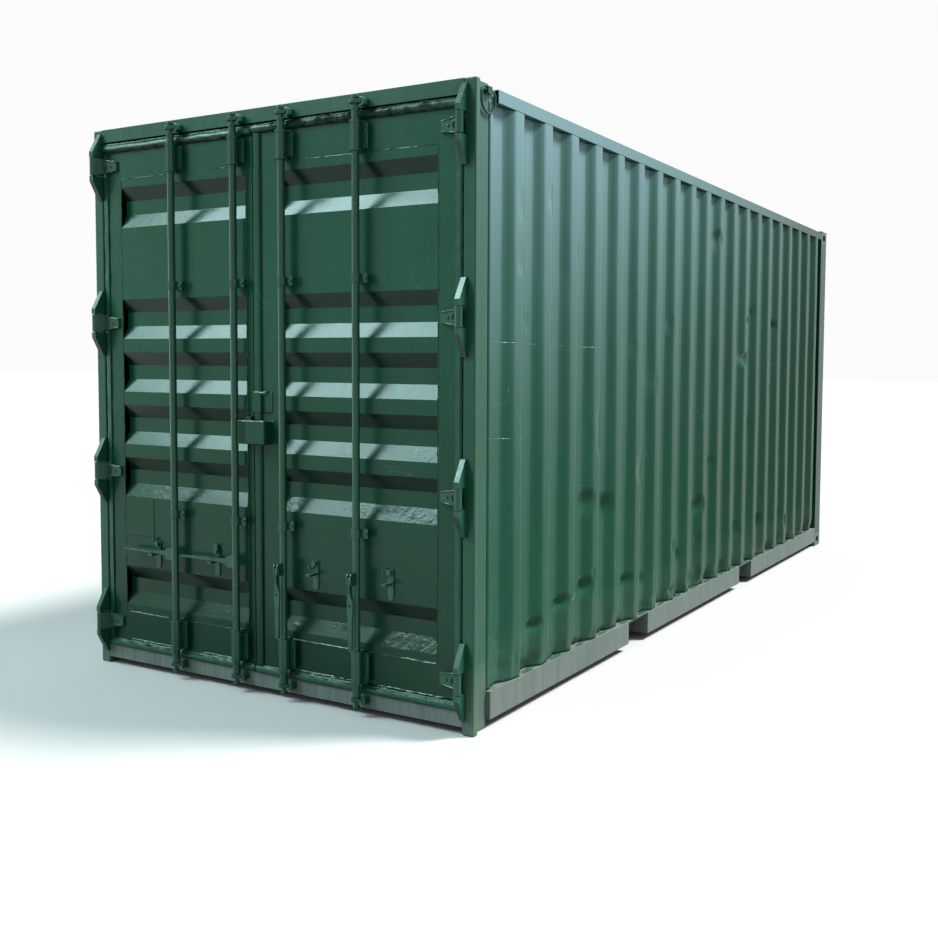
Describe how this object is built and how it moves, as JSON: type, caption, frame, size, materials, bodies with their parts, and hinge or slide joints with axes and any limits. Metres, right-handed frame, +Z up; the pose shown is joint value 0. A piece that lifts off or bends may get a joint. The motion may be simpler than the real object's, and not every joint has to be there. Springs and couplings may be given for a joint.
{
  "type": "shipping container",
  "caption": "Steel freight container with corrugated walls, a pair of rear doors with locking bars, fork pockets and a plank floor.",
  "frame": {"origin": "on the ground under the middle of the whole container", "axes": "+X to the right when facing the doors, +Y from the doors into the container, +Z up"},
  "size_m": [2.438, 6.154, 2.896],
  "materials": {
    "green_paint": "brushed-on green gloss over old steel",
    "weathered_steel": "dusty grey-green paint, worn",
    "door_seal": "rubber seal painted over in green",
    "floor_boards": "worn plywood"
  },
  "bodies": {
    "box": {"door_post_right": "green_paint", "door_post_left": "green_paint", "door_sill": "weathered_steel", "door_header": "green_paint", "bottom_rail_right": "weathered_steel", "bottom_rail_left": "weathered_steel", "top_rail_right": "green_paint", "top_rail_left": "green_paint", "side_wall_right": "green_paint", "side_wall_left": "green_paint", "end_wall": "green_paint", "roof": "green_paint", "fork_pockets": "weathered_steel", "cross_members": "weathered_steel", "floor": "floor_boards", "corner_castings_right": "green_paint", "corner_castings_left": "green_paint", "rear_posts": "green_paint", "rear_rails": "green_paint", "hinge_lugs_right": "green_paint", "hinge_lugs_left": "green_paint", "cam_keepers_bottom": "weathered_steel", "cam_keepers_top": "green_paint", "ring_lugs": "green_paint"},
    "door_left": {"leaf_frame_left": "green_paint", "leaf_panel_left": "green_paint", "seal_left": "door_seal", "hinge_blades_left": "green_paint", "bar_guides_left": "green_paint", "catch_seats_left": "green_paint", "lock_box_left": "green_paint", "blank_plate": "green_paint"},
    "door_right": {"leaf_frame_right": "green_paint", "leaf_panel_right": "green_paint", "seal_right": "door_seal", "overlap_bead": "green_paint", "hinge_blades_right": "green_paint", "bar_guides_right": "green_paint", "catch_seats_right": "green_paint", "lock_box_right": "green_paint", "bead_cover": "green_paint"},
    "ring_left": {"lifting_ring_left": "green_paint"},
    "ring_right": {"lifting_ring_right": "green_paint"},
    "bar_1": {"locking_bar_1": "green_paint", "bar_cams_1": "green_paint"},
    "handle_1": {"handle_1": "green_paint"},
    "catch_1": {"catch_lug_1": "green_paint"},
    "bar_2": {"locking_bar_2": "green_paint", "bar_cams_2": "green_paint"},
    "handle_2": {"handle_2": "green_paint"},
    "catch_2": {"catch_lug_2": "green_paint"},
    "bar_3": {"locking_bar_3": "green_paint", "bar_cams_3": "green_paint"},
    "handle_3": {"handle_3": "green_paint"},
    "catch_3": {"catch_lug_3": "green_paint"},
    "bar_4": {"locking_bar_4": "green_paint", "bar_cams_4": "green_paint"},
    "handle_4": {"handle_4": "green_paint"},
    "catch_4": {"catch_lug_4": "green_paint"}
  },
  "joints": [
    {"name": "door_left_hinge", "type": "hinge", "parent": "box", "child": "door_left", "pos_m": [-1.165, -3.031, 1.4], "axis": [0, 0, -1], "range_deg": [0, 240]},
    {"name": "door_right_hinge", "type": "hinge", "parent": "box", "child": "door_right", "pos_m": [1.165, -3.031, 1.4], "axis": [0, 0, 1], "range_deg": [0, 240]},
    {"name": "bar_1_turn", "type": "hinge", "parent": "door_left", "child": "bar_1", "pos_m": [-0.596, -3.019, 1.4], "axis": [0, 0, -1], "range_deg": [-100, 0]},
    {"name": "handle_1_lift", "type": "hinge", "parent": "bar_1", "child": "handle_1", "pos_m": [-0.641, -3.019, 0.66], "axis": [0, 1, 0], "range_deg": [0, 25]},
    {"name": "catch_1_swivel", "type": "hinge", "parent": "door_left", "child": "catch_1", "pos_m": [-0.764, -2.985, 0.695], "axis": [0, 1, 0], "range_deg": [-40, 0]},
    {"name": "bar_2_turn", "type": "hinge", "parent": "door_left", "child": "bar_2", "pos_m": [-0.168, -3.019, 1.4], "axis": [0, 0, -1], "range_deg": [-100, 0]},
    {"name": "handle_2_lift", "type": "hinge", "parent": "bar_2", "child": "handle_2", "pos_m": [-0.213, -3.019, 0.66], "axis": [0, 1, 0], "range_deg": [0, 25]},
    {"name": "catch_2_swivel", "type": "hinge", "parent": "door_left", "child": "catch_2", "pos_m": [-0.336, -2.985, 0.695], "axis": [0, 1, 0], "range_deg": [0, 60]},
    {"name": "bar_3_turn", "type": "hinge", "parent": "door_right", "child": "bar_3", "pos_m": [0.145, -3.019, 1.4], "axis": [0, 0, 1], "range_deg": [0, 90]},
    {"name": "handle_3_lift", "type": "hinge", "parent": "bar_3", "child": "handle_3", "pos_m": [0.145, -3.064, 0.66], "axis": [-1, 0, 0], "range_deg": [0, 60]},
    {"name": "catch_3_swivel", "type": "hinge", "parent": "door_right", "child": "catch_3", "pos_m": [0.313, -2.985, 0.695], "axis": [0, 1, 0], "range_deg": [-35, 0]},
    {"name": "bar_4_turn", "type": "hinge", "parent": "door_right", "child": "bar_4", "pos_m": [0.593, -3.019, 1.4], "axis": [0, 0, 1], "range_deg": [0, 90]},
    {"name": "handle_4_lift", "type": "hinge", "parent": "bar_4", "child": "handle_4", "pos_m": [0.593, -3.064, 0.66], "axis": [-1, 0, 0], "range_deg": [0, 60]},
    {"name": "catch_4_swivel", "type": "hinge", "parent": "door_right", "child": "catch_4", "pos_m": [0.761, -2.985, 0.695], "axis": [0, 1, 0], "range_deg": [-60, 20]},
    {"name": "ring_left_swing", "type": "hinge", "parent": "box", "child": "ring_left", "pos_m": [-1.208, -2.864, 2.862], "axis": [0, 1, 0], "range_deg": [0, 90]},
    {"name": "ring_right_swing", "type": "hinge", "parent": "box", "child": "ring_right", "pos_m": [1.208, -2.864, 2.862], "axis": [0, -1, 0], "range_deg": [0, 90]}
  ]
}
